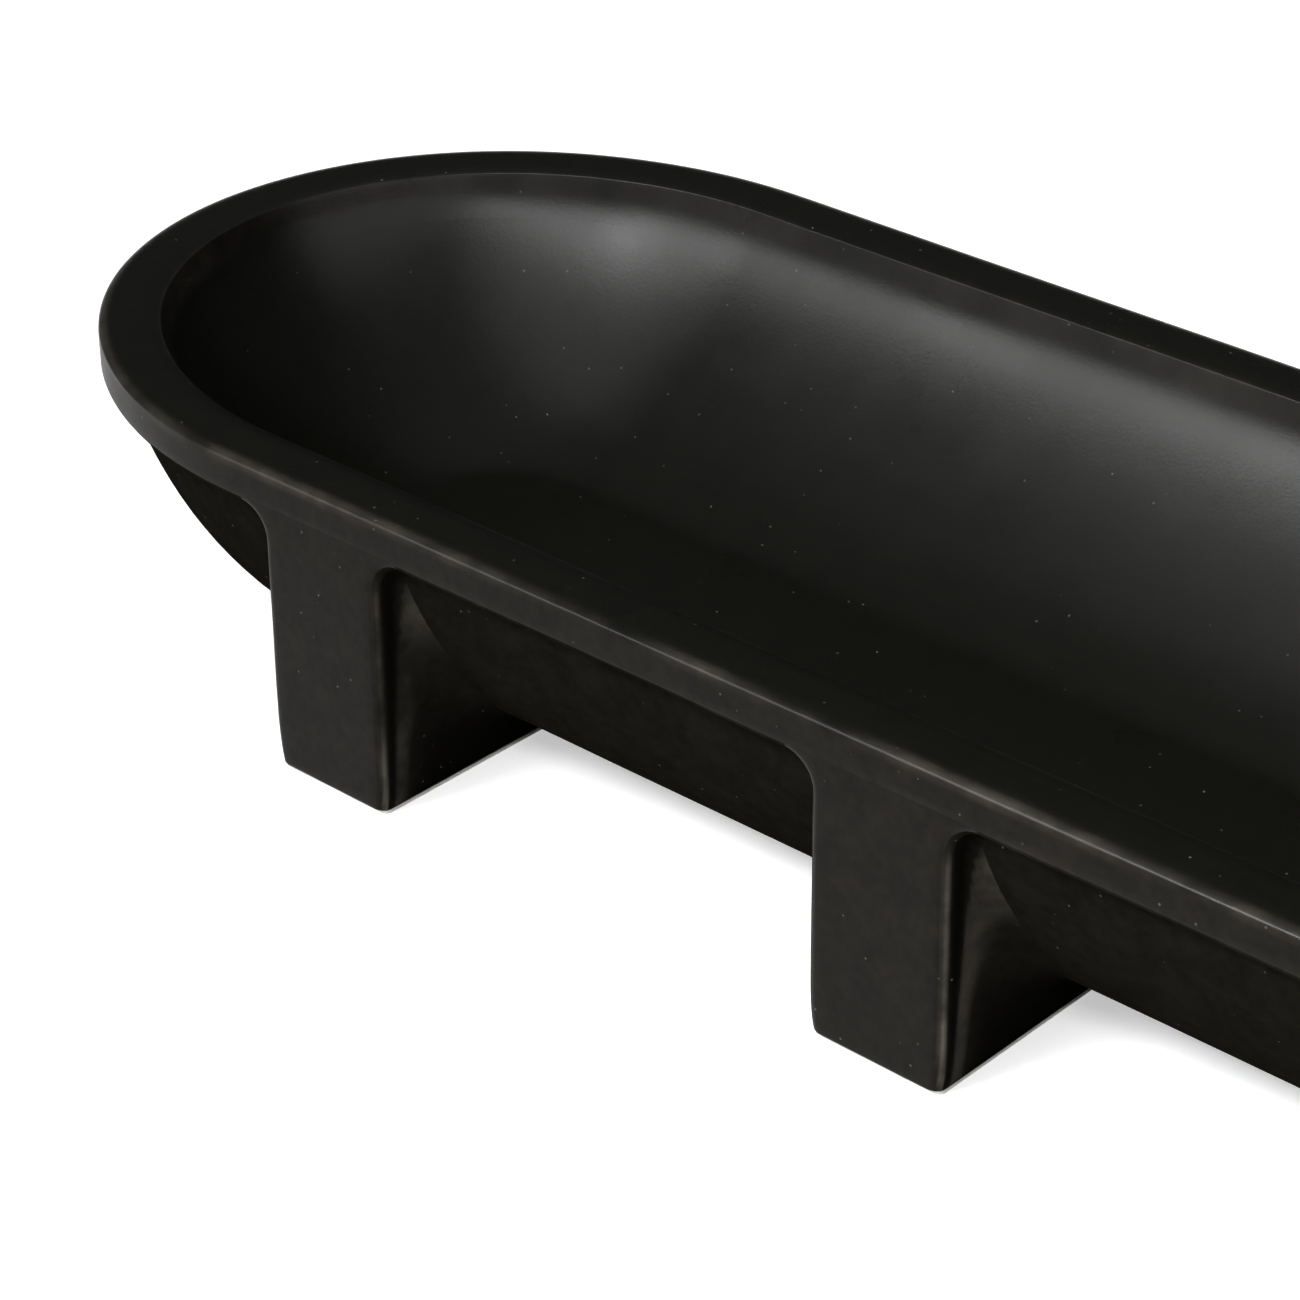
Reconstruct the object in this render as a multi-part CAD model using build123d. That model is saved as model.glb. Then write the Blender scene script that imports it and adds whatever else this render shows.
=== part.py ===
from build123d import *
from math import atan2, cos, radians, sin, tan
import os

# A long footed water dish for flowers, in glazed stoneware. X runs along the dish, Y to its back and Z up.
# The origin is on the table, under the middle of the dish. All sizes are in millimetres.

# The whole dish, standing on its pads
LENGTH = 610.0
WIDTH = 201.0
HEIGHT = 78.7
END_LENGTH = 111.75  # each rounded end is half an ellipse, this long

# The rim: a thick band round the mouth, flat on top, with a crisp lip over the well
RIM_DEPTH = 11.95
RIM_FLAT = 14.7  # from the outer face to the start of the lip
RIM_TOP_ROUND = 2.0
RIM_UNDER_ROUND = 2.5
LIP_ROUND = 1.2

# The basin: a boat-shaped body, set back under the rim
BASIN_INSET = 5.4  # from the rim's face to the top of the wall
HULL_LEAN = 0.22  # how far the wall leans in for each millimetre down
HULL_BILGE = 37.6  # how far the rounded bilge runs in
BASIN_LIFT = 6.8  # from the table to the basin's underside
FLOOR_THICKNESS = 15.2

# The well: the bowl that holds the water, cut through the rim and into the basin
LAND_DROP = 5.6  # the steep land under the lip
LAND_LEAN = 0.34
WELL_LEAN = 0.65
WELL_BILGE = 34.0

# The feet: slabs across the dish, each cut to a saddle for the basin
FOOT_WIDTH = 37.3
FOOT_PITCH = 163.8
FOOT_CORNER = 3.0  # rounding of the upright corners
FOOT_TOE = 1.0  # rounding round the bottom
FLARE_ROUND = 8.0  # hollow of the flare that meets the rim
FLARE_TURN = 60.0  # degrees

# The pads under the ends of each foot
PAD_THICKNESS = 0.8
PAD_LENGTH = 55.0
PAD_MARGIN = 0.4  # bare strip of foot left round a pad

BILGE_STEPS = 8  # how many steps shape each bilge

STRAIGHT = LENGTH - 2 * END_LENGTH
RIM_UNDERSIDE = HEIGHT - RIM_DEPTH
WELL_FLOOR = BASIN_LIFT + FLOOR_THICKNESS
LAND_FOOT = HEIGHT - LAND_DROP
MOUTH_INSET = RIM_FLAT + LIP_ROUND * tan(atan2(1, LAND_LEAN) / 2)  # the mouth's edge before the lip is rounded
BOWL_INSET = MOUTH_INSET + LAND_LEAN * LAND_DROP
FEET = {"left": -FOOT_PITCH, "middle": 0.0, "right": FOOT_PITCH}
SIDES = {"front": -1, "back": 1}


def oval(inset, height):
    """The dish's outline, drawn in by inset, as a level face."""
    half_width = WIDTH / 2 - inset
    reach = END_LENGTH - inset
    right_end = EllipticalCenterArc((STRAIGHT / 2, 0), reach, half_width, start_angle=-90, arc_size=180)
    left_end = EllipticalCenterArc((-STRAIGHT / 2, 0), reach, half_width, start_angle=90, arc_size=180)
    front = Line(left_end @ 1, right_end @ 0)
    back = Line(right_end @ 1, left_end @ 0)
    return Pos(0, 0, height) * make_face([front, right_end, back, left_end])


def boat(top_inset, top, bottom, lean, bilge):
    """A solid whose sides lean in from its top and round into a level bottom."""
    depth = top - bottom
    outlines = []
    for step in range(BILGE_STEPS + 1):
        turn = radians(90) * step / BILGE_STEPS
        drop = depth * sin(turn)
        outlines.append(oval(top_inset + lean * drop + bilge * (1 - cos(turn)), top - drop))
    return loft(outlines)


def make_rim(well):
    """The band round the mouth, rounded outside, with a crisp lip over the well."""
    band = extrude(oval(0, RIM_UNDERSIDE), RIM_DEPTH)
    band = fillet(band.edges().group_by(Axis.Z)[-1], RIM_TOP_ROUND)
    band = fillet(band.edges().group_by(Axis.Z)[0], RIM_UNDER_ROUND)
    band -= well
    top_edges = band.edges().group_by(Axis.Z)[-1]
    mouth_edges = [edge for edge in top_edges if abs((edge @ 0).Y) < WIDTH / 2 - RIM_TOP_ROUND - RIM_FLAT / 2]
    return fillet(mouth_edges, LIP_ROUND)


def make_foot(hull):
    """A slab across the dish: straight sides that flare out under the rim, and a saddle for the basin."""
    half = FOOT_WIDTH / 2
    flare_start = RIM_UNDERSIDE - FLARE_ROUND * sin(radians(FLARE_TURN))
    right_flare = JernArc((half, flare_start), (0, 1), FLARE_ROUND, -FLARE_TURN)
    left_flare = JernArc((-half, flare_start), (0, 1), FLARE_ROUND, FLARE_TURN)
    outline = [
        Line((-half, PAD_THICKNESS), (half, PAD_THICKNESS)),
        Line((half, PAD_THICKNESS), (half, flare_start)),
        right_flare,
        Line(right_flare @ 1, left_flare @ 1),
        left_flare,
        Line((-half, flare_start), (-half, PAD_THICKNESS)),
    ]
    slab = extrude(Plane.XZ * make_face(outline), WIDTH / 2, both=True)
    end_edges = slab.edges().group_by(Axis.Y)[0] + slab.edges().group_by(Axis.Y)[-1]
    corners = [edge for edge in end_edges if PAD_THICKNESS < edge.center().Z < RIM_UNDERSIDE]
    slab = fillet(corners, FOOT_CORNER)
    slab = fillet(slab.edges().group_by(Axis.Z)[0], FOOT_TOE)
    return slab - hull


def make_pad():
    """A thin pad that follows the end of a foot's sole."""
    inset = FOOT_TOE + PAD_MARGIN
    sole = RectangleRounded(FOOT_WIDTH - 2 * inset, PAD_LENGTH, FOOT_CORNER - inset)
    return extrude(sole, PAD_THICKNESS)


hull = boat(BASIN_INSET, RIM_UNDERSIDE, BASIN_LIFT, HULL_LEAN, HULL_BILGE)
land = loft([oval(BOWL_INSET, LAND_FOOT), oval(MOUTH_INSET, HEIGHT)])
well = land + boat(BOWL_INSET, LAND_FOOT, WELL_FLOOR, WELL_LEAN, WELL_BILGE)
foot = make_foot(hull)
pad = make_pad()
pad_reach = WIDTH / 2 - FOOT_TOE - PAD_MARGIN - PAD_LENGTH / 2

parts = {"basin": hull - well, "rim": make_rim(well)}
for place, x in FEET.items():
    parts[f"foot_{place}"] = Pos(x, 0, 0) * foot
    for side, sign in SIDES.items():
        parts[f"pad_{place}_{side}"] = Pos(x, sign * pad_reach, 0) * pad

os.makedirs("parts", exist_ok=True)
for name, solid in parts.items():
    export_step(solid, f"parts/{name}.step")
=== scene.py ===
from math import asin, atan2, cos, exp, pi, radians, sin

import bmesh
import bpy
import numpy as np
from bpy.props import FloatProperty, FloatVectorProperty, PointerProperty
from bpy.types import Operator, Panel, PropertyGroup
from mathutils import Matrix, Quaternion, Vector


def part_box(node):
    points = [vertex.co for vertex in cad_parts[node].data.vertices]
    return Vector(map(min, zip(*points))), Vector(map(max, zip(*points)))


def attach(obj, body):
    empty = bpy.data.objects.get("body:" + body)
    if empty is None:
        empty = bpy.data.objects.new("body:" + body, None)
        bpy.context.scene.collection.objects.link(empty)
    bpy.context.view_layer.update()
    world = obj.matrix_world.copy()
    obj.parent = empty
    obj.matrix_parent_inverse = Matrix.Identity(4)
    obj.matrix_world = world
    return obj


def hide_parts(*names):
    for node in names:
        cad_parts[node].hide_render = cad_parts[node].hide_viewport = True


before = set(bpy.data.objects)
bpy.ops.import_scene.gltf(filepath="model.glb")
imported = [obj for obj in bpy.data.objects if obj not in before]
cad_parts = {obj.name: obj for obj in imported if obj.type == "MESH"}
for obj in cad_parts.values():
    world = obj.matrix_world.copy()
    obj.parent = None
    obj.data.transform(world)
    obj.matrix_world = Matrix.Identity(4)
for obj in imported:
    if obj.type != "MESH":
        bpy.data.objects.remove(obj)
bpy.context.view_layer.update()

RIM_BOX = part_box("rim")
BASIN_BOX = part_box("basin")
PLACES = ("left", "middle", "right")
FOOT_NODES = [f"foot_{place}" for place in PLACES]
PAD_NODES = [f"pad_{place}_{side}" for place in PLACES for side in ("front", "back")]
MM = 0.001
QUARTER = pi / 2
WHITE = (1.0, 1.0, 1.0, 1.0)

# What each point of a glazed surface keeps: how thin the glaze runs there, with painted glints, sheen
# and shade on the feet, and which finish it has
GLAZE_ATTRIBUTES = ("wear", "outside")
SATIN, DRY, BARE = 0.0, 1.0, 2.0
BARE_EDGE = 2.2 * MM  # height of the strip at the rim's lower edge that hardly shines

# How far the glaze breaks brown on the rim's upper and lower edge, on the land and on the feet's sides,
# where the brown stripe is also a painted sheen
RIDGE_WEAR = 0.26
LOWER_WEAR = 0.06
LAND_WEAR = 0.08
STRIPE_BROWN_AND_SHEEN = 0.3

# How many steps shape each stretch of the rim's section, from the mouth over the top to the wall
MOUTH_STEPS = 8
LAND_STEPS = 3
LIP_STEPS = 6
ROLL_STEPS = 8
FLAT_STEPS = 5
CROWN_STEPS = 20
FACE_STEPS = 4
UNDER_STEPS = 7
LUTE_STEPS = 4
SEAT_STEPS = 3

# The same for the basin's section, and for the oval that both sections are carried round
MIDDLE_STEPS = 8
HULL_STEPS = 26
WALL_TOP_STEPS = 4
WELL_STEPS = 36
OVAL_STEPS = 480

# The same for a foot, and for the corners of a pad
FRONT_STEPS = 6
CORNER_STEPS = 6
TOE_STEPS = 4
HEEL_STEPS = 6
STRAIGHT_STEPS = 16
FLARE_STEPS = 8
SADDLE_STEPS = 28
COVE_STEPS = 6
PAD_CORNER_STEPS = 6
DRY_COLUMNS = FRONT_STEPS + 2  # a foot is dry on its front and where the corner starts to turn

# Small shares and distances of the shapes
SEAT_INSET = 1.0 * MM  # from the outside of the basin's wall to where the rim sits flat on it
FRONT_SETBACK = 0.6  # how far a foot's front stands back from the dish's width, as a share of the slack
FRONT_SINK = 0.45  # how much further it sinks at the rim, as a share of the slack
LUTE_SHARE = 0.46  # the most that a hollow of slip takes of the inset under the rim's face
HOLLOW_SHARE = 0.42  # the most that it takes of the height under the basin
LEAST_HOLLOW = 0.3 * MM
SLIP_SINK = 0.05 * MM  # how far the slip's edge runs into the basin
SMALL_TURN = 0.01  # between the two points that give the hull's slope
TREE_MERGE = 0.01 * MM
FOOT_MERGE = 0.004 * MM
GLAZE_SHARP = radians(50)
PAD_SHARP = radians(40)

# The surface's wander, for each input of its tree: share of the slack, and scale and seed of the noise
WANDER_SHARES = {"Amount": 1.1, "Fine amount": 0.22}
WANDER_NOISES = {"Amount": (22.0, 3.0), "Fine amount": (95.0, 8.0)}
SATIN_WANDER = 0.3  # share of the wander that the satin surfaces have

# The patterns of the glaze and the felt: scale of the noise, its detail and its roughness
CLOUD = (26.0, 4.0, 0.6)
PATCH = (90.0, 4.0, 0.65)
FLECK = (330.0, 3.0, 0.6)
DULL = (45.0, 3.0, 0.5)
SPECK_CHOICE = (140.0, 1.0, 0.5)
GRAIN = (1300.0, 2.0, 0.6)
PEEL = (160.0, 2.0, 0.5)
FIBRE = (1500.0, 3.0, 0.7)
SPECK_SCALE = 210.0

# Strength and depth of what stands out of the surface
GRAIN_BUMP = (0.3, 0.08 * MM)
PEEL_BUMP = (0.1, 0.2 * MM)
FIBRE_BUMP = (0.6, 0.2 * MM)

# The stage: floor, sky, camera and lights
FLOOR_REACH = 9.0
SKY_MIDDLE = 0.095
SKY_HIGH = 0.27
SENSOR_WIDTH = 36.0  # millimetres
CAMERA_PLACE = (0.42645, -0.62574, 0.48738)
CAMERA_TURN = (60.206, 0.573, 42.570)  # degrees
# Each light: name, property of its power, place, point that it faces, size, and roll and beam in degrees
LIGHTS = (
    ("key_strip", "key_power", (-0.3, -1.2, 1.26), (-0.2, 0.0, 0.06), (2.7, 0.36), 12.0, 180.0),
    ("accent_grid", "accent_power", (-0.28, -1.2, 1.12), (0.28, 0.0, 0.06), (0.5, 0.36), 0.0, 36.0),
    ("top_softbox", "top_power", (-0.3, -0.75, 1.6), (-0.1, 0.0, 0.05), (1.6, 0.9), 0.0, 180.0),
    ("fill_softbox", "fill_power", (1.1, -0.12, 1.05), (-0.2, 0.0, 0.06), (1.9, 0.85), 0.0, 180.0),
)

bl_info = {
    "name": "Long footed flower dish",
    "version": (1, 0, 0),
    "blender": (4, 5, 0),
    "location": "View3D > Sidebar > Dish",
    "description": "A long black water dish for flowers, with its floor, lights and camera",
    "category": "Add Mesh",
}


def size(name, default, description):
    """A length in metres."""
    return FloatProperty(
        name=name, description=description, default=default, min=0.0, subtype="DISTANCE", precision=4
    )


def share(name, default, description):
    """A number from 0 to 1."""
    return FloatProperty(
        name=name, description=description, default=default, min=0.0, max=1.0, subtype="FACTOR"
    )


def colour(name, default, description):
    """A linear colour."""
    return FloatVectorProperty(
        name=name, description=description, default=default, size=3, min=0.0, max=1.0, subtype="COLOR"
    )


def power(name, default, description):
    """A light's power in watts."""
    return FloatProperty(name=name, description=description, default=default, min=0.0, subtype="POWER")


class DishSizes(PropertyGroup):
    """Sizes of the rim and the basin."""

    half_length: size("Half length", RIM_BOX[1].x, "From the middle to the end of the rim")
    half_width: size("Half width", RIM_BOX[1].y, "From the middle to the front of the rim")
    top: size("Rim top", RIM_BOX[1].z, "Height of the rim's top")
    underside: size("Rim underside", RIM_BOX[0].z, "Height of the rim's underside")
    bottom: size("Basin underside", BASIN_BOX[0].z, "Height of the basin's underside")
    end_length: size("End length", 111.75 * MM, "Length of each half-ellipse end")
    rim_flat: size("Rim flat", 15.5 * MM, "From the outer face to the start of the lip")
    roll_run: size("Roll run", 6.0 * MM, "How far before the lip the top starts to roll down")
    roll_drop: size("Roll drop", 1.0 * MM, "How far the top rolls down to the lip")
    crown: size("Crown", 5.8 * MM, "How far in from the face the top starts to fall")
    top_round: size("Top round", 1.75 * MM, "How far the top falls to the face")
    under_round: size("Under round", 2.5 * MM, "Rounding of the rim's lower edge")
    lip_round: size("Lip round", 0.5 * MM, "Rounding of the lip over the well")
    land_drop: size("Land drop", 5.6 * MM, "From the rim's top to the foot of the land under the lip")
    land_lean: share("Land lean", 0.42, "How far the land leans in for each unit down")
    land_blend: size("Land blend", 4.0 * MM, "Depth over which the land's steepness runs out")
    basin_inset: size("Basin inset", 5.4 * MM, "From the rim's face to the top of the basin's wall")
    wall_lean: share("Wall lean", 0.22, "How far the wall leans in for each unit down")
    hull_bilge: size("Hull bilge", 37.6 * MM, "How far the rounded bilge runs in, outside")
    well_bilge: size("Well bilge", 34.0 * MM, "How far the rounded bilge runs in, inside")
    well_lean: share("Well lean", 0.65, "How far the well's wall leans in for each unit down")
    floor_thickness: size("Floor thickness", 15.2 * MM, "Of the basin's floor")
    lute: size("Lute", 9.0 * MM, "Hollow of the slip round the feet")
    rim_lute: size("Rim lute", 0.8 * MM, "Hollow of the slip under the rim")
    slack: size("Slack", 0.4 * MM, "How far the hand-shaped surface may wander")


class FootSizes(PropertyGroup):
    """Sizes of the feet and their pads."""

    width: size("Foot width", 37.3 * MM, "Along the dish")
    corner: size("Foot corner", 3.0 * MM, "Rounding of the upright corners")
    toe: size("Foot toe", 1.0 * MM, "Rounding round the bottom")
    heel: size("Heel", 14.0 * MM, "Height at which the sides start to draw in towards the bottom")
    heel_tuck: size("Heel tuck", 1.6 * MM, "How far the sides draw in")
    flare: size("Flare", 7.0 * MM, "Hollow of the flare that meets the rim")
    pad_corner: size("Pad corner", 1.6 * MM, "Rounding of a pad's corners")


class GlazeLook(PropertyGroup):
    """Colours of the glaze and the pads."""

    body: colour("Glaze", (0.0022, 0.0022, 0.0011), "The glaze where it lies thick")
    dry_body: colour("Dry glaze", (0.0056, 0.0046, 0.0030), "The glaze where it lies thin, outside")
    bare_body: colour("Bare glaze", (0.0075, 0.0071, 0.0055), "The glaze where it hardly shines")
    # Also the painted glint on the feet's corners and the painted sheen of the stripe behind them
    edge: colour("Edge break", (0.150, 0.133, 0.112), "The glaze where it runs thin over an edge")
    # Painted shade: low and deep on the feet's sides and in a dark band beside their corners
    pool: colour("Painted shade", (0.0030, 0.0029, 0.0023), "Painted shade on the feet's sides")
    speck: colour("Speck", (0.085, 0.08, 0.07), "Fine pale specks")
    felt: colour("Felt", (0.80, 0.79, 0.75), "The pads")


class StageLook(PropertyGroup):
    """The floor, the lights and the camera."""

    floor: colour("Floor", (0.86, 0.86, 0.86), "The floor's own colour")
    floor_lift: share("Floor lift", 0.5, "How far the floor is lifted to white where it is seen")
    key_power: power("Key power", 31.0, "Of the long strip in front")
    accent_power: power("Accent power", 0.95, "Of the narrow beam towards the right")
    top_power: power("Top power", 4.2, "Of the wide light overhead")
    fill_power: power("Fill power", 7.0, "Of the soft light on the right")
    lens: FloatProperty(
        name="Lens",
        description="Focal length in millimetres",
        default=109.893,
        min=1.0,
        subtype="DISTANCE_CAMERA",
    )


def ease(low, high, value):
    """Runs smoothly from 0 to 1 as value goes from low to high."""
    part = min(1.0, max(0.0, (value - low) / (high - low)))
    return part * part * (3 - 2 * part)


def arc(centre, radius, start, stop, steps):
    """Points round a centre, from one angle to another, ends included."""
    turns = [start + (stop - start) * step / steps for step in range(steps + 1)]
    return [(centre[0] + radius * cos(turn), centre[1] + radius * sin(turn)) for turn in turns]


def line(start, stop, steps):
    """Points from start to stop, without start."""
    points = []
    for step in range(1, steps + 1):
        x = start[0] + (stop[0] - start[0]) * step / steps
        y = start[1] + (stop[1] - start[1]) * step / steps
        points.append((x, y))
    return points


def hull_point(dish, turn):
    """Inset and height of the hull, for a turn from 0 at the rim to a quarter circle below."""
    drop = (dish.underside - dish.bottom) * sin(turn)
    inset = dish.basin_inset + dish.wall_lean * drop + dish.hull_bilge * (1 - cos(turn))
    return inset, dish.underside - drop


def hull_inset(dish, height):
    """Inset of the hull, the basin's outside, at a height."""
    depth = dish.underside - dish.bottom
    drop = min(depth, max(0.0, dish.underside - height))
    turn = atan2(drop, max(0.0, depth * depth - drop * drop) ** 0.5)
    return hull_point(dish, turn)[0]


def lip_arc(dish):
    """Points of the lip, from the steep land up to the rim's top, as (inset, height)."""
    steep = atan2(1.0, dish.land_lean)
    gentle = atan2(2 * dish.roll_drop, dish.roll_run)
    edge = (dish.rim_flat, dish.top - dish.slack - dish.roll_drop)
    centre = (edge[0] - dish.lip_round * sin(gentle), edge[1] - dish.lip_round * cos(gentle))
    return arc(centre, dish.lip_round, QUARTER - steep, QUARTER - gentle, LIP_STEPS)


def land_foot(dish):
    """Inset and height of the foot of the land under the lip, where the bowl starts."""
    inset, height = lip_arc(dish)[0]
    foot = dish.top - dish.land_drop
    return inset + dish.land_lean * (height - foot), foot


def bowl_depth(dish):
    """From the land's foot to the well's floor."""
    return dish.top - dish.land_drop - dish.bottom - dish.floor_thickness


def well_point(dish, turn):
    """Inset and height of the bowl, for a turn from 0 at the land's foot to a quarter circle below."""
    inset, height = land_foot(dish)
    drop = bowl_depth(dish) * sin(turn)
    steeper = (dish.well_lean - dish.land_lean) * dish.land_blend * (1 - exp(-drop / dish.land_blend))
    return inset + dish.well_lean * drop - steeper + dish.well_bilge * (1 - cos(turn)), height - drop


def well_turn(dish, height):
    """The turn at which the bowl reaches a height."""
    return asin((dish.top - dish.land_drop - height) / bowl_depth(dish))


def lute_at(dish, height):
    """The slip's hollow, which shrinks where a wall stands close to the rim's face."""
    return min(dish.lute, LUTE_SHARE * hull_inset(dish, height))


def rim_profile(dish):
    """Closed outline of the rim's section, as (inset, height), from the mouth over the top."""
    face = dish.slack
    top = dish.top - dish.slack
    under = dish.underside
    joint = well_turn(dish, under)
    mouth = [well_point(dish, joint * (1 - step / MOUTH_STEPS)) for step in range(MOUTH_STEPS + 1)]
    lip = lip_arc(dish)
    points = mouth + line(mouth[-1], lip[0], LAND_STEPS) + lip[1:]
    for step in range(1, ROLL_STEPS + 1):
        part = 1 - step / ROLL_STEPS
        points.append((dish.rim_flat - dish.roll_run * (1 - part), top - dish.roll_drop * part * part))
    shoulder = []
    for step in range(CROWN_STEPS + 1):
        turn = QUARTER * step / CROWN_STEPS
        shoulder.append((face + dish.crown * (1 - sin(turn)), top - dish.top_round * (1 - cos(turn))))
    points += line(points[-1], shoulder[0], FLAT_STEPS) + shoulder[1:]
    hub = (face + dish.under_round, under + dish.under_round)
    lower = arc(hub, dish.under_round, pi, 3 * QUARTER, UNDER_STEPS)
    points += line(points[-1], lower[0], FACE_STEPS) + lower[1:]
    hollow = dish.rim_lute
    points += arc((dish.basin_inset - hollow, under - hollow), hollow, QUARTER, 0.0, LUTE_STEPS)
    points[-1] = (hull_inset(dish, under - hollow), under - hollow)
    points.append((dish.basin_inset + SEAT_INSET, under))
    points += line(points[-1], mouth[0], SEAT_STEPS)
    return points


def basin_profile(dish):
    """Outline of the basin's section from its underside's middle, up the outside and down the well."""
    middle = (dish.half_width, dish.bottom)
    hull = [hull_point(dish, QUARTER * step / HULL_STEPS) for step in range(HULL_STEPS, -1, -1)]
    points = [middle] + line(middle, hull[0], MIDDLE_STEPS) + hull[1:]
    joint = well_turn(dish, dish.underside)
    turns = [joint + (QUARTER - joint) * step / WELL_STEPS for step in range(WELL_STEPS + 1)]
    well = [well_point(dish, turn) for turn in turns]
    points += line(points[-1], well[0], WALL_TOP_STEPS) + well[1:]
    points += line(points[-1], (dish.half_width, points[-1][1]), MIDDLE_STEPS)
    return points


def outside(dish, inset, height):
    """The finish at a point of a section: satin on the rim's top and in the well, dry on the rim's
    face, and bare at the face's lower edge, under the rim and on the hull."""
    if inset < dish.basin_inset and height < dish.underside + BARE_EDGE:
        return BARE
    if height > dish.underside:
        on_face = ease(3.0 * MM, 0.4 * MM, inset - dish.slack)
        below_top = ease(1.2 * MM, 2.0 * MM, dish.top - dish.slack - height)
        return DRY * on_face * below_top
    on_underside = height < dish.bottom + 1.0 * MM
    on_hull = inset < hull_inset(dish, height) + 1.0 * MM
    return BARE if on_underside or on_hull else SATIN


def edge_wear(dish, inset, height):
    """How thin the glaze runs at a point of a section: most on the rim's outer top edge."""
    across = inset - dish.slack
    below = dish.top - dish.slack - height
    ridge = ease(3.0 * MM, 0.8 * MM, across) * ease(3.0 * MM, 1.0 * MM, below)
    lower = ease(4.0 * MM, 1.0 * MM, across) * ease(4.5 * MM, 1.5 * MM, height - dish.underside)
    at_lip = ease(dish.rim_flat - 1.0 * MM, dish.rim_flat + 0.5 * MM, inset)
    land = at_lip * ease(dish.land_drop + 3.0 * MM, dish.land_drop, dish.top - height)
    return max(RIDGE_WEAR * ridge, LOWER_WEAR * lower, LAND_WEAR * land)


class Nodes:
    """A node tree that is written one node at a time."""

    def __init__(self, tree):
        self.tree = tree

    def add(self, kind, inputs=None, **settings):
        """Adds a node, sets it and wires its inputs, which are values or other nodes' outputs."""
        node = self.tree.nodes.new(kind)
        for name, value in settings.items():
            setattr(node, name, value)
        for key, value in (inputs or {}).items():
            if isinstance(value, bpy.types.NodeSocket):
                self.tree.links.new(value, node.inputs[key])
            else:
                node.inputs[key].default_value = value
        return node

    def math(self, operation, first, second=0.0, clamp=False):
        """The output of a Math node."""
        inputs = {0: first, 1: second}
        return self.add("ShaderNodeMath", inputs, operation=operation, use_clamp=clamp).outputs[0]

    def whole(self, operation, first, second):
        """The output of an Integer Math node."""
        inputs = {0: first, 1: second}
        return self.add("FunctionNodeIntegerMath", inputs, operation=operation).outputs[0]

    def vector(self, operation, first, second):
        """The output of a Vector Math node, whose second input is a number where it scales."""
        inputs = {0: first, "Scale" if operation == "SCALE" else 1: second}
        return self.add("ShaderNodeVectorMath", inputs, operation=operation).outputs[0]

    def attribute(self, name):
        """A number that each point of a mesh keeps."""
        inputs = {"Name": name}
        return self.add("GeometryNodeInputNamedAttribute", inputs, data_type="FLOAT").outputs[0]

    def sample(self, geometry, value, index, kind):
        """A field's value at one point of another geometry."""
        inputs = {"Geometry": geometry, "Value": value, "Index": index}
        return self.add("GeometryNodeSampleIndex", inputs, data_type=kind, domain="POINT").outputs[0]

    def move(self, geometry, **target):
        """A geometry moved to a Position, or by an Offset."""
        return self.add("GeometryNodeSetPosition", {"Geometry": geometry, **target}).outputs[0]

    def merge(self, geometry):
        """A geometry with the points that meet made one."""
        inputs = {"Geometry": geometry, "Distance": TREE_MERGE}
        return self.add("GeometryNodeMergeByDistance", inputs).outputs[0]


def geometry_tree(name, lengths, others=()):
    """The nodes of a new Geometry Nodes tree, what its named inputs give, and the node at its end."""
    tree = bpy.data.node_groups.new(name, "GeometryNodeTree")
    inputs = [("Geometry", "NodeSocketGeometry")]
    inputs += [(length, "NodeSocketFloat") for length in lengths]
    inputs += [*others, ("Material", "NodeSocketMaterial")]
    for socket_name, kind in inputs:
        tree.interface.new_socket(socket_name, in_out="INPUT", socket_type=kind)
    tree.interface.new_socket("Geometry", in_out="OUTPUT", socket_type="NodeSocketGeometry")
    given = tree.nodes.new("NodeGroupInput").outputs
    return Nodes(tree), given, tree.nodes.new("NodeGroupOutput")


def finish_tree(nodes, geometry, given, end):
    """Ends a tree with plain mesh in the material that it is given."""
    real = nodes.add("GeometryNodeRealizeInstances", {0: geometry}).outputs[0]
    dressed = nodes.add("GeometryNodeSetMaterial", {"Geometry": real, "Material": given["Material"]})
    nodes.tree.links.new(dressed.outputs[0], end.inputs[0])
    return nodes.tree


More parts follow.
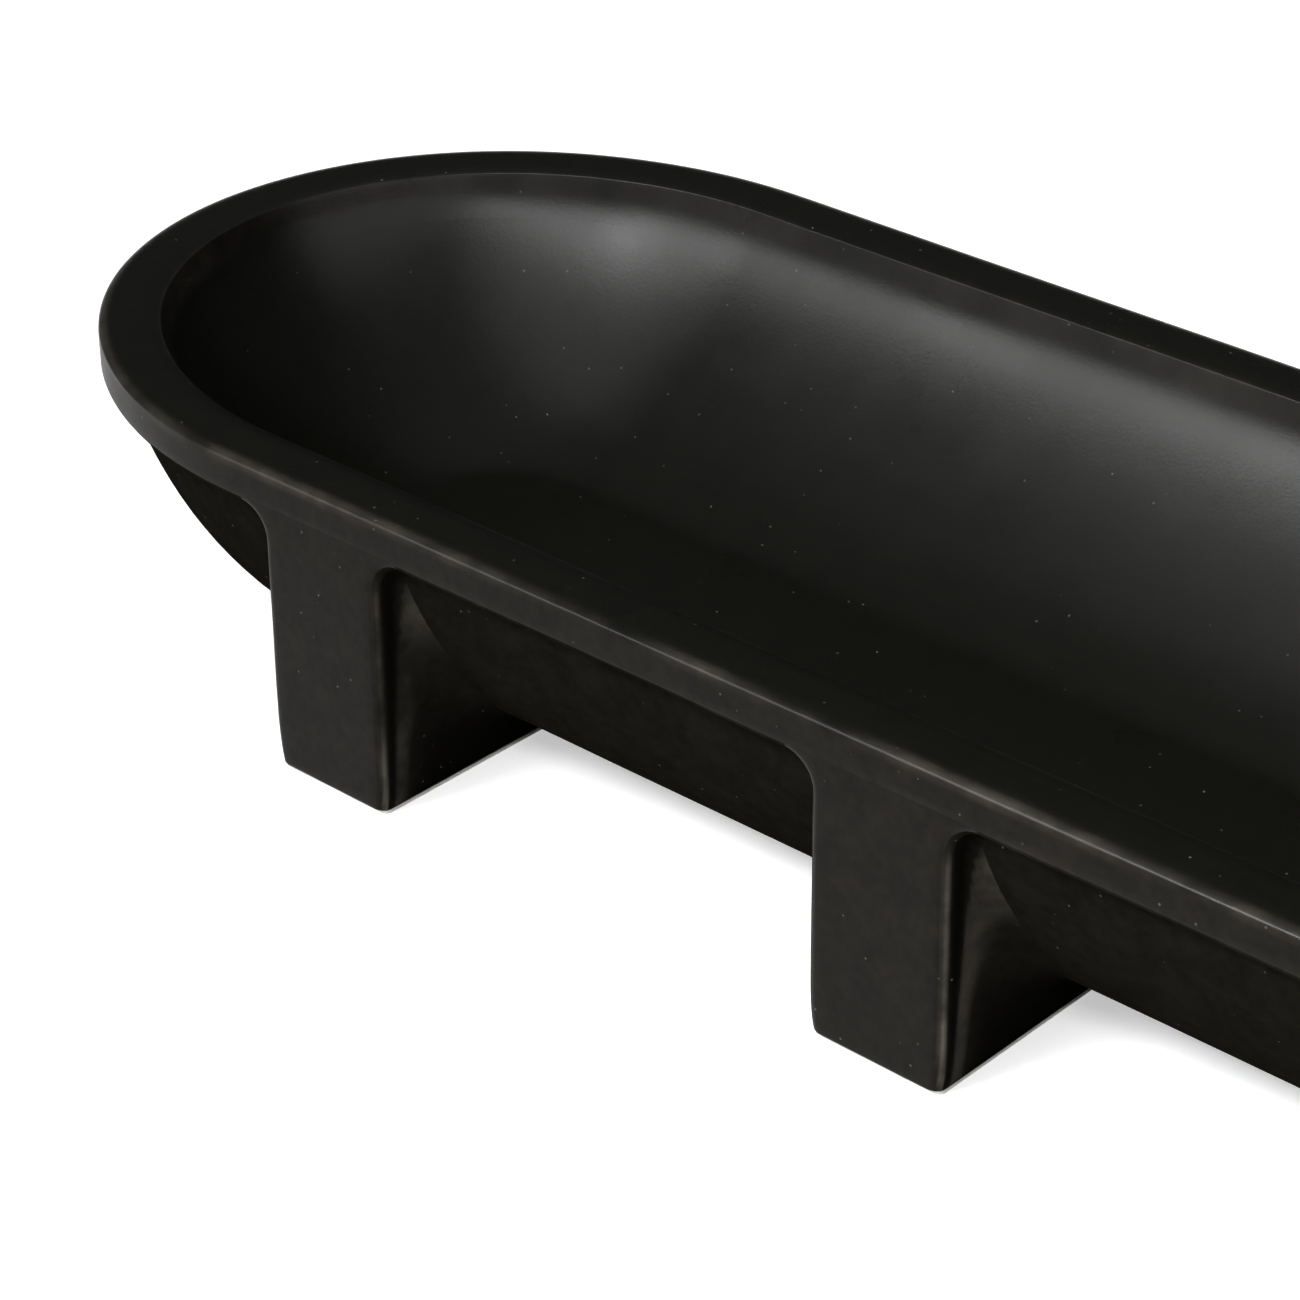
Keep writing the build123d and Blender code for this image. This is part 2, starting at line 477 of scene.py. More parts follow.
def sweep_tree():
    """Carries a section round the dish's oval. A point's X is its inset, and its Z its height."""
    lengths = ("Straight", "Half width", "End length")
    nodes, given, end = geometry_tree("oval_sweep", lengths, [("Steps", "NodeSocketInt")])
    section = given["Geometry"]
    domain = nodes.add("GeometryNodeAttributeDomainSize", {0: section}, component="MESH")
    count = domain.outputs["Point Count"]
    stations = nodes.whole("ADD", given["Steps"], 1)
    grid = nodes.add("GeometryNodeMeshGrid", {"Vertices X": stations, "Vertices Y": count})
    index = nodes.add("GeometryNodeInputIndex").outputs[0]
    along = nodes.whole("MODULO", index, count)
    station = nodes.whole("DIVIDE_FLOOR", index, count)
    place = nodes.add("GeometryNodeInputPosition").outputs[0]
    point = nodes.sample(section, place, along, "FLOAT_VECTOR")
    parts = nodes.add("ShaderNodeSeparateXYZ", {0: point}).outputs
    inset = parts["X"]
    height = parts["Z"]

    # The four quarters of the way round: the right end, the back, the left end and the front
    quarter = nodes.math("DIVIDE", nodes.math("MULTIPLY", station, 4.0), given["Steps"])
    right_end = nodes.math("MULTIPLY", quarter, 1.0, clamp=True)
    back_run = nodes.math("SUBTRACT", quarter, 1.0, clamp=True)
    left_end = nodes.math("SUBTRACT", quarter, 2.0, clamp=True)
    front_run = nodes.math("SUBTRACT", quarter, 3.0, clamp=True)
    half_turns = nodes.math("ADD", right_end, left_end)
    turn = nodes.math("MULTIPLY", nodes.math("SUBTRACT", half_turns, 0.5), pi)
    run = nodes.math("SUBTRACT", nodes.math("SUBTRACT", front_run, back_run), -0.5)
    centre = nodes.math("MULTIPLY", run, given["Straight"])
    end_reach = nodes.math("SUBTRACT", given["End length"], inset)
    reach = nodes.math("MULTIPLY", end_reach, nodes.math("COSINE", turn))
    across = nodes.math("SUBTRACT", given["Half width"], inset)
    x = nodes.math("ADD", centre, reach)
    y = nodes.math("MULTIPLY", across, nodes.math("SINE", turn))
    position = nodes.add("ShaderNodeCombineXYZ", {"X": x, "Y": y, "Z": height}).outputs[0]

    carried = grid.outputs["Mesh"]
    for name in GLAZE_ATTRIBUTES:
        value = nodes.sample(section, nodes.attribute(name), along, "FLOAT")
        inputs = {"Geometry": carried, "Name": name, "Value": value}
        kept = nodes.add("GeometryNodeStoreNamedAttribute", inputs, data_type="FLOAT", domain="POINT")
        carried = kept.outputs[0]
    merged = nodes.merge(nodes.move(carried, Position=position))
    return finish_tree(nodes, merged, given, end)


def wander_tree():
    """Moves a surface a little, as hands and the kiln leave it. A place always moves the same way."""
    nodes, given, end = geometry_tree("hand_wander", WANDER_NOISES)
    place = nodes.add("GeometryNodeInputPosition").outputs[0]
    moves = []
    for name, (scale, seed) in WANDER_NOISES.items():
        inputs = {"Vector": place, "W": seed, "Scale": scale, "Detail": 1.0}
        noise = nodes.add("ShaderNodeTexNoise", inputs, noise_dimensions="4D").outputs["Color"]
        centred = nodes.vector("SUBTRACT", noise, (0.5, 0.5, 0.5))
        moves.append(nodes.vector("SCALE", centred, given[name]))
    freedom = spread(nodes, nodes.attribute("outside"), SATIN, DRY, SATIN_WANDER, 1.0)
    offset = nodes.vector("SCALE", nodes.vector("ADD", *moves), freedom)
    return finish_tree(nodes, nodes.move(given["Geometry"], Offset=offset), given, end)


def pad_tree():
    """A thin plate with rounded corners, set under a foot."""
    lengths = ("Width", "Length", "Corner", "Thickness")
    nodes, given, end = geometry_tree("felt_pad", lengths, [("Place", "NodeSocketVector")])
    sides = {"Width": given["Width"], "Height": given["Length"]}
    sole = nodes.add("GeometryNodeCurvePrimitiveQuadrilateral", sides).outputs[0]
    corners = {"Curve": sole, "Radius": given["Corner"], "Count": PAD_CORNER_STEPS}
    rounded = nodes.add("GeometryNodeFilletCurve", corners, mode="POLY").outputs[0]
    face = nodes.add("GeometryNodeFillCurve", {"Curve": rounded}, mode="NGONS").outputs[0]
    lift = nodes.add("ShaderNodeCombineXYZ", {"Z": given["Thickness"]}).outputs[0]
    plate = nodes.add("GeometryNodeExtrudeMesh", {"Mesh": face, "Offset": lift, "Individual": False})
    under = nodes.add("GeometryNodeFlipFaces", {"Mesh": face}).outputs[0]
    joined = nodes.add("GeometryNodeJoinGeometry")
    for part in (under, plate.outputs["Mesh"]):
        nodes.tree.links.new(part, joined.inputs[0])
    inputs = {"Geometry": nodes.merge(joined.outputs[0]), "Translation": given["Place"]}
    placed = nodes.add("GeometryNodeTransform", inputs).outputs[0]
    return finish_tree(nodes, placed, given, end)


def shared_tree(name, make):
    """The tree of that name, made once."""
    return bpy.data.node_groups.get(name) or make()


def run_tree(source, tree, values):
    """Runs a tree on a source mesh, which is then removed. Gives the plain mesh that comes out."""
    holder = bpy.data.objects.new("tree_holder", source)
    bpy.context.scene.collection.objects.link(holder)
    modifier = holder.modifiers.new("tree", "NODES")
    modifier.node_group = tree
    inputs = [item for item in tree.interface.items_tree if item.in_out == "INPUT"]
    sockets = {item.name: item.identifier for item in inputs}
    for name, value in values.items():
        modifier[sockets[name]] = value
    holder.update_tag()
    graph = bpy.context.evaluated_depsgraph_get()
    mesh = bpy.data.meshes.new_from_object(holder.evaluated_get(graph), depsgraph=graph)
    bpy.data.objects.remove(holder)
    bpy.data.meshes.remove(source)
    return mesh


def store(mesh, attribute, values):
    """Keeps one number for each point of a mesh."""
    mesh.attributes.new(attribute, "FLOAT", "POINT").data.foreach_set("value", values)


def swept(dish, name, points):
    """A section carried round the oval, with what the glaze needs to know of each point."""
    section = bpy.data.meshes.new(f"{name}_section")
    section.from_pydata([(inset, 0.0, height) for inset, height in points], [], [])
    for attribute, rule in zip(GLAZE_ATTRIBUTES, (edge_wear, outside)):
        store(section, attribute, [rule(dish, *point) for point in points])
    values = {
        "Straight": 2 * (dish.half_length - dish.end_length),
        "Half width": dish.half_width,
        "End length": dish.end_length,
        "Steps": OVAL_STEPS,
        "Material": satin_glaze(),
    }
    return run_tree(section, shared_tree("oval_sweep", sweep_tree), values)


def face_outward(mesh, sharp_angle):
    """Turns every face outward and keeps only the sharp edges sharp."""
    shape = bmesh.new()
    shape.from_mesh(mesh)
    bmesh.ops.recalc_face_normals(shape, faces=shape.faces)
    loose = [edge for edge in shape.edges if len(edge.link_faces) != 2]
    if loose:
        shape.free()
        raise RuntimeError(f"{mesh.name} has {len(loose)} open edges")
    for face in shape.faces:
        face.smooth = True
    shape.to_mesh(mesh)
    shape.free()
    mesh.set_sharp_from_angle(angle=sharp_angle)


def glazed(mesh, dish):
    """A clay form with its surface let wander, in the three finishes of the glaze."""
    values = {name: part * dish.slack for name, part in WANDER_SHARES.items()}
    values["Material"] = satin_glaze()
    finished = run_tree(mesh, shared_tree("hand_wander", wander_tree), values)
    face_outward(finished, GLAZE_SHARP)
    finished.materials.clear()
    for finish in (satin_glaze(), dry_glaze(), bare_glaze()):
        finished.materials.append(finish)
    out = [item.value for item in finished.attributes["outside"].data]
    finishes = [round(min(out[vertex] for vertex in face.vertices)) for face in finished.polygons]
    finished.polygons.foreach_set("material_index", finishes)
    return finished


def add_piece(name, mesh, node):
    """Puts a finished mesh in the scene in place of its CAD node."""
    mesh.name = name
    piece = bpy.data.objects.new(name, mesh)
    bpy.context.scene.collection.objects.link(piece)
    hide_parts(node)
    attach(piece, "root")
    return piece


def shader(name):
    """A new material, its nodes and its surface shader."""
    material = bpy.data.materials.new(name)
    material.use_nodes = True
    return material, Nodes(material.node_tree), material.node_tree.nodes["Principled BSDF"]


def noise_at(nodes, place, pattern):
    """The grey output of a noise on a place."""
    scale, detail, roughness = pattern
    inputs = {"Vector": place, "Scale": scale, "Detail": detail, "Roughness": roughness}
    return nodes.add("ShaderNodeTexNoise", inputs).outputs[0]


def spread(nodes, value, low, high, first=0.0, last=1.0):
    """Maps a value from one range to another, held at the ends."""
    inputs = {"Value": value, "From Min": low, "From Max": high, "To Min": first, "To Max": last}
    return nodes.add("ShaderNodeMapRange", inputs).outputs[0]


def blend(nodes, factor, first, second):
    """A mix of two colours."""
    return nodes.add("ShaderNodeMix", {0: factor, 6: first, 7: second}, data_type="RGBA").outputs[2]


def opaque(tone, level=1.0):
    """A colour at a share of its brightness, with its alpha."""
    return (*[level * part for part in tone], 1.0)


def raised(nodes, height, bump):
    """A Bump node for a pattern that stands out of the surface."""
    strength, depth = bump
    return nodes.add("ShaderNodeBump", {"Height": height, "Strength": strength, "Distance": depth})


def satin_glaze():
    """The glaze on the rim's top and in the well."""
    body = bpy.context.scene.dish_glaze.body
    return glaze("black_satin_glaze", body, index=1.33, rough=(0.27, 0.32), mottle=0.2)


def dry_glaze():
    """The same glaze where it lies thin and dry, on the rim's face and the feet's fronts."""
    body = bpy.context.scene.dish_glaze.dry_body
    return glaze("black_dry_glaze", body, index=1.15, rough=(0.36, 0.46), mottle=0.5)


def bare_glaze():
    """The same glaze with hardly any shine, on the hull, the feet's sides and the undersides."""
    body = bpy.context.scene.dish_glaze.bare_body
    return glaze("black_bare_glaze", body, index=1.0, rough=(0.50, 0.60), mottle=0.25)


def glaze(name, body, index, rough, mottle):
    """A warm black glaze that breaks brown over edges, with fine specks and a slight grain, and painted
    glints, sheen and shade where the feet's attribute asks for them.
    """
    found = bpy.data.materials.get(name)
    if found:
        return found
    look = bpy.context.scene.dish_glaze
    material, nodes, surface = shader(name)
    place = nodes.add("ShaderNodeTexCoord").outputs["Object"]
    wear = nodes.add("ShaderNodeAttribute", attribute_name="wear").outputs["Fac"]
    cloud = noise_at(nodes, place, CLOUD)
    patch = noise_at(nodes, place, PATCH)

    mixed = nodes.math("ADD", patch, noise_at(nodes, place, FLECK))
    dark = opaque(body, 1 - mottle)
    pale = opaque(body, 1 + mottle)
    tone = blend(nodes, spread(nodes, mixed, 0.76, 1.24), dark, pale)
    # Brown where the glaze runs thin over an edge; on the feet the same share paints a glint on the
    # corners and a sheen on the stripe
    thin = nodes.math("MULTIPLY", wear, spread(nodes, cloud, 0.36, 0.62))
    thin = nodes.math("MULTIPLY", thin, spread(nodes, patch, 0.3, 0.62, 0.35, 1.0))
    tone = blend(nodes, thin, tone, opaque(look.edge))
    # Below zero the share paints shade on the feet's sides
    thick = nodes.math("MULTIPLY", wear, -1.0, clamp=True)
    tone = blend(nodes, thick, tone, opaque(look.pool))
    inputs = {"Vector": place, "Scale": SPECK_SCALE, "Randomness": 1.0}
    cells = nodes.add("ShaderNodeTexVoronoi", inputs)
    dot = spread(nodes, cells.outputs["Distance"], 0.04, 0.075, 1.0, 0.0)
    chosen = spread(nodes, noise_at(nodes, place, SPECK_CHOICE), 0.48, 0.55)
    tone = blend(nodes, nodes.math("MULTIPLY", dot, chosen), tone, opaque(look.speck))
    nodes.tree.links.new(tone, surface.inputs["Base Color"])

    dull = spread(nodes, noise_at(nodes, place, DULL), 0.3, 0.7, *rough)
    nodes.tree.links.new(dull, surface.inputs["Roughness"])
    surface.inputs["IOR"].default_value = index
    grain = raised(nodes, noise_at(nodes, place, GRAIN), GRAIN_BUMP)
    peel = raised(nodes, noise_at(nodes, place, PEEL), PEEL_BUMP)
    nodes.tree.links.new(grain.outputs[0], peel.inputs["Normal"])
    nodes.tree.links.new(peel.outputs[0], surface.inputs["Normal"])
    return material


def felt():
    """Pale matted felt."""
    found = bpy.data.materials.get("pale_felt")
    if found:
        return found
    look = bpy.context.scene.dish_glaze
    material, nodes, surface = shader("pale_felt")
    place = nodes.add("ShaderNodeTexCoord").outputs["Object"]
    fibre = noise_at(nodes, place, FIBRE)
    tone = blend(nodes, fibre, opaque(look.felt, 0.8), opaque(look.felt))
    nodes.tree.links.new(tone, surface.inputs["Base Color"])
    surface.inputs["Roughness"].default_value = 0.95
    surface.inputs["Specular IOR Level"].default_value = 0.15
    matted = raised(nodes, fibre, FIBRE_BUMP)
    nodes.tree.links.new(matted.outputs[0], surface.inputs["Normal"])
    return material


class FootForm:
    """The form of one foot: its front right quarter, from its middle. The other three mirror it."""

    def __init__(self, dish, foot, node):
        low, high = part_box(node)
        self.dish = dish
        self.foot = foot
        self.middle = (low.x + high.x) / 2
        self.half = foot.width / 2
        self.sole = low.z
        self.front = dish.half_width - FRONT_SETBACK * dish.slack
        self.flare_start = dish.underside - foot.flare
        self.rises = self.row_heights()

    def row_heights(self):
        """Heights of the rows of points, from the toe to the rim's underside."""
        foot = self.foot
        heel_start = self.sole + foot.toe
        heel_rise = foot.heel - foot.toe
        straight_start = self.sole + foot.heel
        straight_rise = self.flare_start - straight_start
        rises = [heel_start + heel_rise * step / HEEL_STEPS for step in range(HEEL_STEPS)]
        for step in range(STRAIGHT_STEPS):
            rises.append(straight_start + straight_rise * step / STRAIGHT_STEPS)
        for step in range(FLARE_STEPS + 1):
            rises.append(self.flare_start + foot.flare * sin(QUARTER * step / FLARE_STEPS))
        return rises

    def edge_at(self, height):
        """Half width at a height, and how far the flare has turned there."""
        foot = self.foot
        rise = min(1.0, max(0.0, (height - self.flare_start) / foot.flare))
        turn = atan2(rise, max(0.0, 1 - rise * rise) ** 0.5)
        below = max(0.0, self.sole + foot.heel - height)
        tuck = foot.heel_tuck * (1 - (1 - (below / foot.heel) ** 2) ** 0.5)
        return self.half + foot.flare * (1 - cos(turn)) - tuck, turn

    def corner_at(self, height):
        """The upright corner's rounding, which shrinks to that of the rim's lower edge."""
        dish = self.dish
        depth = hull_inset(dish, height) - dish.slack
        return min(self.foot.corner, dish.under_round * depth / (dish.basin_inset - dish.slack))

    def front_at(self, height):
        """The front's distance from the middle, which sinks into the rim's face at the top."""
        sunk = ease(self.flare_start, self.dish.underside, height)
        return self.front - FRONT_SINK * self.dish.slack * sunk

    def hollow_at(self, height):
        """The slip's hollow at a height of the saddle, which shrinks where the foot is low."""
        room = max(LEAST_HOLLOW, HOLLOW_SHARE * (height - self.sole - self.foot.toe))
        return min(lute_at(self.dish, height), room)

    def toed(self, points, outward):
        """A column of points above its rounded toe."""
        toe = self.foot.toe
        base = np.array(points[0])
        curl = []
        for step in range(TOE_STEPS):
            turn = QUARTER * step / TOE_STEPS
            inward = toe * (1 - sin(turn)) * np.array(outward)
            curl.append(base - inward - np.array((0, 0, toe * cos(turn))))
        return curl + [np.array(point) for point in points]

    def front_columns(self):
        """Columns of points from the middle of the front and round the upright corner."""
        columns = []
        for step in range(FRONT_STEPS):
            column = []
            for rise in self.rises:
                width, turn = self.edge_at(rise)
                corner = self.corner_at(rise)
                x = (width - corner * cos(turn)) * step / FRONT_STEPS
                column.append((x, -self.front_at(rise), rise + corner * sin(turn)))
            columns.append(self.toed(column, (0, -1, 0)))
        for step in range(CORNER_STEPS + 1):
            sweep = QUARTER * step / CORNER_STEPS
            column = []
            for rise in self.rises:
                width, turn = self.edge_at(rise)
                corner = self.corner_at(rise)
                inward = corner * (1 - sin(sweep))
                y = corner * (1 - cos(sweep)) - self.front_at(rise)
                column.append((width - inward * cos(turn), y, rise + inward * sin(turn)))
            columns.append(self.toed(column, (sin(sweep), -cos(sweep), 0)))
        return columns

    def saddle(self):
        """Where the basin lies in the foot: Y and Z, and the way out of the basin there."""
        dish = self.dish
        points = []
        for step in range(SADDLE_STEPS + 1):
            turn = QUARTER * (step / SADDLE_STEPS)
            inset, height = hull_point(dish, turn)
            before = hull_point(dish, max(0.0, turn - SMALL_TURN))
            after = hull_point(dish, min(QUARTER, turn + SMALL_TURN))
            run = Vector((after[0] - before[0], after[1] - before[1])).normalized()
            points.append((inset - dish.half_width, height, run.y, -run.x))
        flat_start = points[-1][0]
        for step in range(1, MIDDLE_STEPS + 1):
            points.append((flat_start * (1 - step / MIDDLE_STEPS), dish.bottom, 0.0, -1.0))
        return points

    def side_column(self, y, top):
        """A column of points up the side at one place, from the toe to a height."""
        low = self.rises[0]
        scale = (top - low) / (self.dish.underside - low)
        levels = [low + (rise - low) * scale for rise in self.rises]
        return self.toed([(self.edge_at(level)[0], y, level) for level in levels], (1, 0, 0))

    def cove(self, y, z, out, side_top):
        """The hollow of slip from the top of the side to a point of the saddle."""
        hollow = self.hollow_at(z)
        width, turn = self.edge_at(side_top)
        side = Vector((cos(turn), 0.0, -sin(turn)))
        hub = Vector((width, y, z)) + hollow * side + hollow * out
        points = []
        for step in range(1, COVE_STEPS + 1):
            sweep = QUARTER * step / COVE_STEPS
            points.append(hub - hollow * (cos(sweep) * side + sin(sweep) * out))
        end = points[-1]
        if z > self.dish.bottom + 0.5 * MM:
            end.y = hull_inset(self.dish, end.z) - self.dish.half_width + SLIP_SINK
        else:
            end.z += SLIP_SINK
        return points

    def quarter(self):
        """The quarter's columns of points, and the hollows of slip over the last of them."""
        columns = self.front_columns()
        coves = []
        for number, (y, z, out_y, out_z) in enumerate(self.saddle()):
            side_top = z
            if number > 0:
                hollow = self.hollow_at(z)
                side_top = z + hollow * out_z
                columns.append(self.side_column(y + hollow * out_y, side_top))
            coves.append(self.cove(y, z, Vector((0.0, out_y, out_z)), side_top))
        return columns, coves

    def wear_and_painted_light_at(self, place):
        """How thin the glaze runs at a place, with painted light: brown over the upright corners with a
        painted glint, a brown stripe behind them that is also a painted sheen, and below zero painted
        shade, low and deep on the sides and in a dark band between corner and stripe."""
        under = self.dish.underside
        from_side = self.half - abs(place.x - self.middle)
        from_front = self.front - abs(place.y)
        above = place.z - self.sole
        # Painted glint down the upright corner, over its brown edge break, brighter near the bottom
        corner = ease(1.5 * MM, 0.3 * MM, abs(from_side - from_front))
        corner *= ease(4.0 * MM, 3.2 * MM, from_side + from_front)
        corner *= ease(2.0 * MM, 14.0 * MM, under - place.z)
        corner *= 0.5 + 0.5 * ease(24.0 * MM, 10.0 * MM, above)
        # Painted shade, low on the side and deeper behind the front, where the dish shades it
        low_side_shade = ease(6.0 * MM, 16.0 * MM, from_front) * ease(26.0 * MM, 6.0 * MM, above)
        narrow = (0.5 + 0.5 * ease(self.sole, under, place.z)) * MM
        # A dark band of painted shade between the corner's glint and the stripe
        band_shade = ease(1.6 * MM, 2.4 * MM, from_front)
        band_shade *= ease(7.0 * narrow, 5.0 * narrow, from_front)
        # A brown stripe behind the corner, which is also a painted sheen where the side catches light
        stripe = ease(6.0 * narrow, 8.5 * narrow, from_front)
        stripe *= ease(20.0 * narrow, 10.0 * narrow, from_front)
        return max(corner, STRIPE_BROWN_AND_SHEEN * stripe) - max(low_side_shade, band_shade)


def add_sheet(shape, rows, middle, signs, dry_rows=0):
    """Adds a grid of points, mirrored by the signs of X and Y. Its first rows are dry, the rest bare."""
    finish = shape.verts.layers.float["outside"]
    made = []
    for number, row in enumerate(rows):
        vertices = [shape.verts.new((middle + x * signs[0], y * signs[1], z)) for x, y, z in row]
        for vertex in vertices:
            vertex[finish] = DRY if number < dry_rows else BARE
        made.append(vertices)
    for first, second in zip(made, made[1:]):
        for corners in zip(first, second, second[1:], first[1:]):
            shape.faces.new(corners)


def foot_mesh(dish, foot, node):
    """A slab foot, with flat ends flush with the rim and hollows of slip round its saddle."""
    form = FootForm(dish, foot, node)
    columns, coves = form.quarter()
    walls = columns[-len(coves):]
    slip = [[wall[-1], *cove] for wall, cove in zip(walls, coves)]
    shape = bmesh.new()
    shape.verts.layers.float.new("outside")
    for sign_x in (1, -1):
        for sign_y in (1, -1):
            add_sheet(shape, columns, form.middle, (sign_x, sign_y), DRY_COLUMNS)
            add_sheet(shape, slip, form.middle, (sign_x, sign_y))
    for sign_y in (1, -1):
        for edge in ([cove[-1] for cove in coves], [wall[0] for wall in walls]):
            mirrored = [(-x, y, z) for x, y, z in edge]
            add_sheet(shape, [mirrored, edge], form.middle, (1, sign_y))
    bmesh.ops.remove_doubles(shape, verts=shape.verts, dist=FOOT_MERGE)
    open_edges = [edge for edge in shape.edges if edge.is_boundary]
    bmesh.ops.holes_fill(shape, edges=open_edges, sides=0)
    mesh = bpy.data.meshes.new(node)
    shape.to_mesh(mesh)
    shape.free()
    store(mesh, "wear", [form.wear_and_painted_light_at(vertex.co) for vertex in mesh.vertices])
    return mesh


def make_floor(scene, stage):
    """A wide pale floor, lifted to white where it is seen, most of all far away."""
    corners = [(x * FLOOR_REACH, y * FLOOR_REACH, 0) for x, y in ((-1, -1), (1, -1), (1, 1), (-1, 1))]
    mesh = bpy.data.meshes.new("floor")
    mesh.from_pydata(corners, [], [(0, 1, 2, 3)])
    floor = bpy.data.objects.new("floor", mesh)
    scene.collection.objects.link(floor)
    material, nodes, surface = shader("pale_floor")
    surface.inputs["Base Color"].default_value = opaque(stage.floor)
    surface.inputs["Roughness"].default_value = 1.0
    surface.inputs["Specular IOR Level"].default_value = 0.0
    surface.inputs["Emission Color"].default_value = WHITE
    path = nodes.add("ShaderNodeLightPath").outputs
    seen = nodes.math("ADD", path["Is Camera Ray"], path["Is Glossy Ray"])
    seen = nodes.math("ADD", seen, path["Is Transmission Ray"], clamp=True)
    place = nodes.add("ShaderNodeTexCoord").outputs["Object"]
    away = nodes.add("ShaderNodeVectorMath", {0: place}, operation="LENGTH").outputs["Value"]
    lift = spread(nodes, away, 0.5, 3.0, stage.floor_lift, 1.0)
    nodes.tree.links.new(nodes.math("MULTIPLY", seen, lift), surface.inputs["Emission Strength"])
    mesh.materials.append(material)


def make_sky(scene):
    """A dim room that is brighter overhead, with a bright low wall in front of the dish."""
    world = bpy.data.worlds.new("studio")
    world.use_nodes = True
    scene.world = world
    nodes = Nodes(world.node_tree)
    ray = nodes.add("ShaderNodeTexCoord").outputs["Generated"]
    axes = nodes.add("ShaderNodeSeparateXYZ", {0: ray}).outputs
    up = axes["Z"]
    middle = spread(nodes, up, 0.0, 0.5, 0.0, SKY_MIDDLE)
    high = spread(nodes, up, 0.6, 1.0, 0.0, SKY_HIGH)
    low = spread(nodes, up, 0.2, 0.32, 1.0, 0.0)
    glow = nodes.math("MULTIPLY", low, spread(nodes, axes["Y"], -0.45, -0.75))
    level = nodes.math("MAXIMUM", nodes.math("ADD", middle, high), glow)
    background = world.node_tree.nodes["Background"]
    background.inputs["Color"].default_value = WHITE
    nodes.tree.links.new(level, background.inputs["Strength"])


def area_light(scene, name, watts, place, target, extent, roll, beam):
    """A soft rectangular light that faces a point. Roll lifts its right end, and beam is its spread."""
    lamp = bpy.data.lights.new(name, "AREA")
    lamp.shape = "RECTANGLE"
    lamp.size, lamp.size_y = extent
    lamp.energy = watts
    lamp.spread = radians(beam)
    holder = bpy.data.objects.new(name, lamp)
    holder.location = place
    facing = (Vector(target) - Vector(place)).to_track_quat("-Z", "Y")
    holder.rotation_euler = (facing @ Quaternion((0.0, 0.0, 1.0), radians(roll))).to_euler()
    scene.collection.objects.link(holder)


def make_camera(scene, stage):
    """The camera at the photograph's viewing angle."""
    camera = bpy.data.cameras.new("camera")
    camera.lens = stage.lens
    camera.sensor_width = SENSOR_WIDTH
    holder = bpy.data.objects.new("camera", camera)
    holder.location = CAMERA_PLACE
    holder.rotation_euler = [radians(turn) for turn in CAMERA_TURN]
    scene.collection.objects.link(holder)
    scene.camera = holder


class DISH_OT_rim(Operator):
    """Make the rim: a thick band round the mouth, flat on top, with a crisp lip over the well"""

    bl_idname = "dish.rim"
    bl_label = "Rim"

    def execute(self, context):
        dish = context.scene.dish_sizes
        mesh = glazed(swept(dish, "rim", rim_profile(dish)), dish)
        add_piece("glazed_rim", mesh, "rim")
        return {"FINISHED"}


class DISH_OT_basin(Operator):
    """Make the basin: a boat-shaped shell under the rim"""

    bl_idname = "dish.basin"
    bl_label = "Basin"

    def execute(self, context):
        dish = context.scene.dish_sizes
        mesh = glazed(swept(dish, "basin", basin_profile(dish)), dish)
        add_piece("glazed_basin", mesh, "basin")
        return {"FINISHED"}


class DISH_OT_feet(Operator):
    """Make the slab feet, luted to the basin and the rim"""

    bl_idname = "dish.feet"
    bl_label = "Feet"

    def execute(self, context):
        dish = context.scene.dish_sizes
        foot = context.scene.dish_feet
        for node in FOOT_NODES:
            mesh = glazed(foot_mesh(dish, foot, node), dish)
            add_piece(f"glazed_{node}", mesh, node)
        return {"FINISHED"}


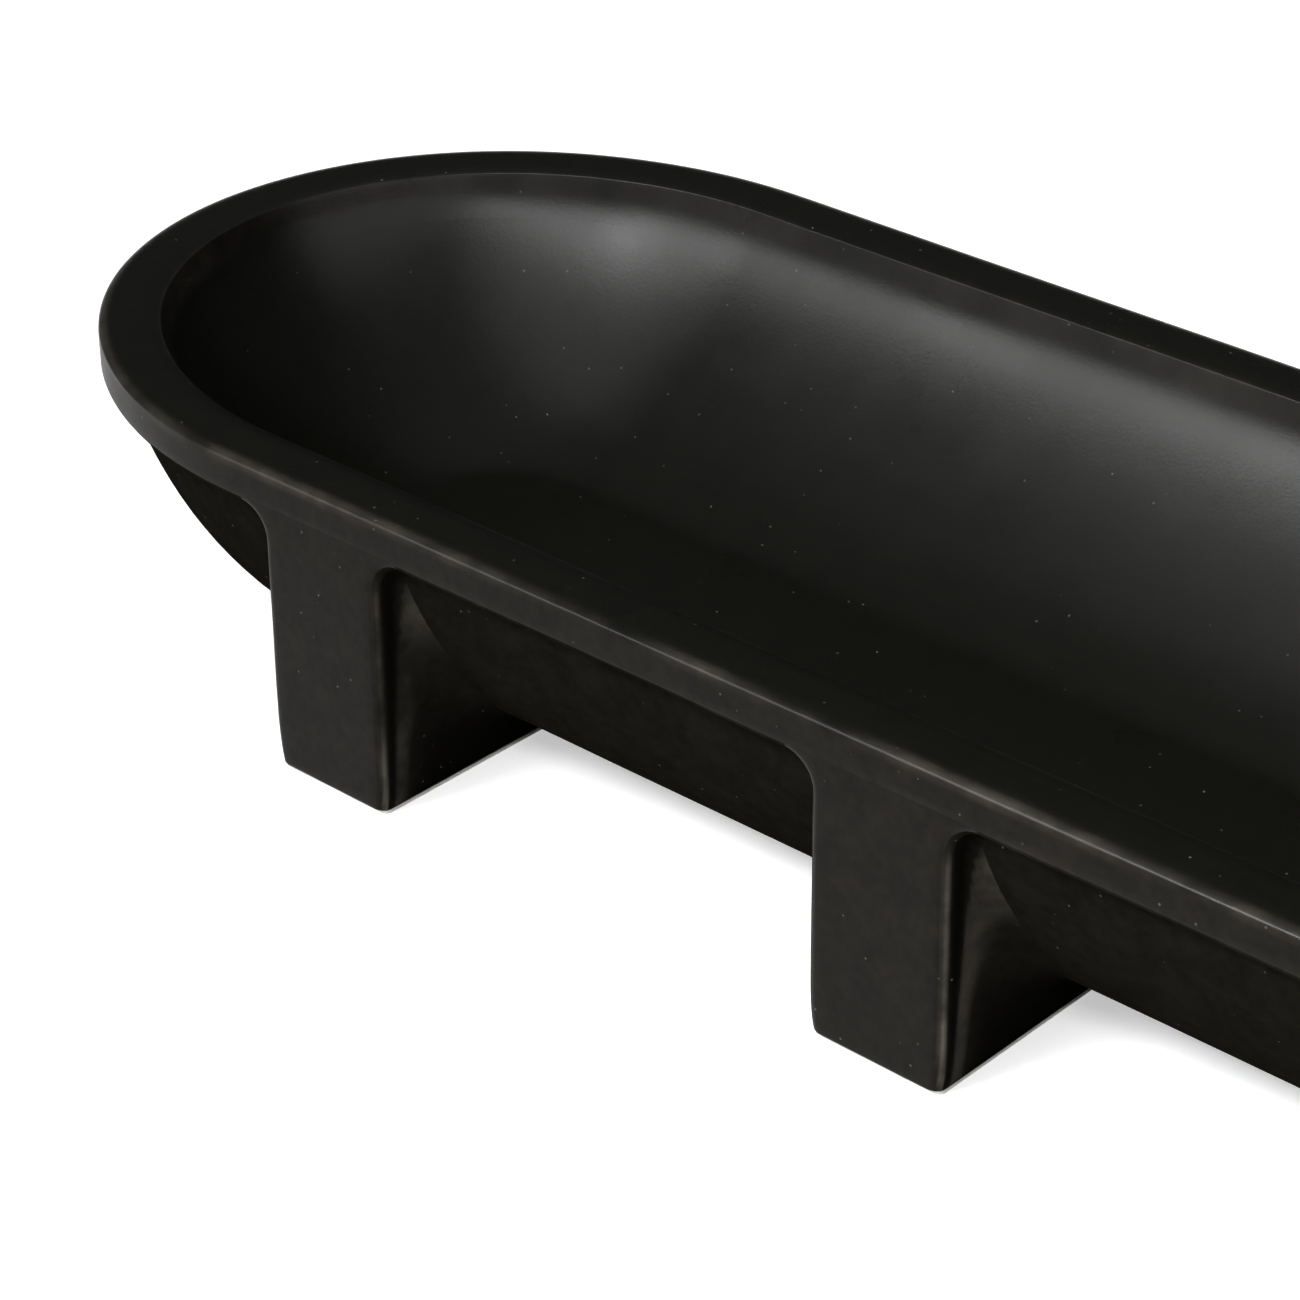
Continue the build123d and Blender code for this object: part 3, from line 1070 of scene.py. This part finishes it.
class DISH_OT_pads(Operator):
    """Make the felt pads under the feet"""

    bl_idname = "dish.pads"
    bl_label = "Pads"

    def execute(self, context):
        tree = shared_tree("felt_pad", pad_tree)
        for node in PAD_NODES:
            low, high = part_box(node)
            values = {
                "Width": high.x - low.x,
                "Length": high.y - low.y,
                "Corner": context.scene.dish_feet.pad_corner,
                "Thickness": high.z - low.z,
                "Place": ((low.x + high.x) / 2, (low.y + high.y) / 2, low.z),
                "Material": felt(),
            }
            mesh = run_tree(bpy.data.meshes.new("pad_source"), tree, values)
            face_outward(mesh, PAD_SHARP)
            add_piece(f"felt_{node}", mesh, node)
        return {"FINISHED"}


class DISH_OT_stage(Operator):
    """Make the floor, the lights and the camera"""

    bl_idname = "dish.stage"
    bl_label = "Stage"

    def execute(self, context):
        scene = context.scene
        stage = scene.dish_stage
        scene.view_settings.view_transform = "Standard"
        make_floor(scene, stage)
        make_sky(scene)
        for name, power_name, *setting in LIGHTS:
            area_light(scene, name, getattr(stage, power_name), *setting)
        make_camera(scene, stage)
        return {"FINISHED"}


class DISH_PT_sidebar(Panel):
    """Lists the steps that make the dish, and its sizes and colours"""

    bl_idname = "DISH_PT_sidebar"
    bl_label = "Flower dish"
    bl_space_type = "VIEW_3D"
    bl_region_type = "UI"
    bl_category = "Dish"

    def draw(self, context):
        for step in STEPS:
            self.layout.operator(step.bl_idname)
        for group in GROUPS:
            owner = getattr(context.scene, group)
            box = self.layout.box()
            for name in owner.bl_rna.properties.keys():
                if name not in ("rna_type", "name"):
                    box.prop(owner, name)


STEPS = (DISH_OT_rim, DISH_OT_basin, DISH_OT_feet, DISH_OT_pads, DISH_OT_stage)
GROUPS = {
    "dish_sizes": DishSizes,
    "dish_feet": FootSizes,
    "dish_glaze": GlazeLook,
    "dish_stage": StageLook,
}


def register():
    """Makes the groups, the steps and the panel known."""
    for kind in (*GROUPS.values(), *STEPS, DISH_PT_sidebar):
        bpy.utils.register_class(kind)
    for name, kind in GROUPS.items():
        setattr(bpy.types.Scene, name, PointerProperty(type=kind))


def unregister():
    """Takes the groups, the steps and the panel out again."""
    for name in GROUPS:
        delattr(bpy.types.Scene, name)
    for kind in reversed((*GROUPS.values(), *STEPS, DISH_PT_sidebar)):
        bpy.utils.unregister_class(kind)


def main():
    """Makes the dish and its stage."""
    register()
    bpy.ops.dish.rim()
    bpy.ops.dish.basin()
    bpy.ops.dish.feet()
    bpy.ops.dish.pads()
    bpy.ops.dish.stage()


if __name__ == "__main__":
    main()
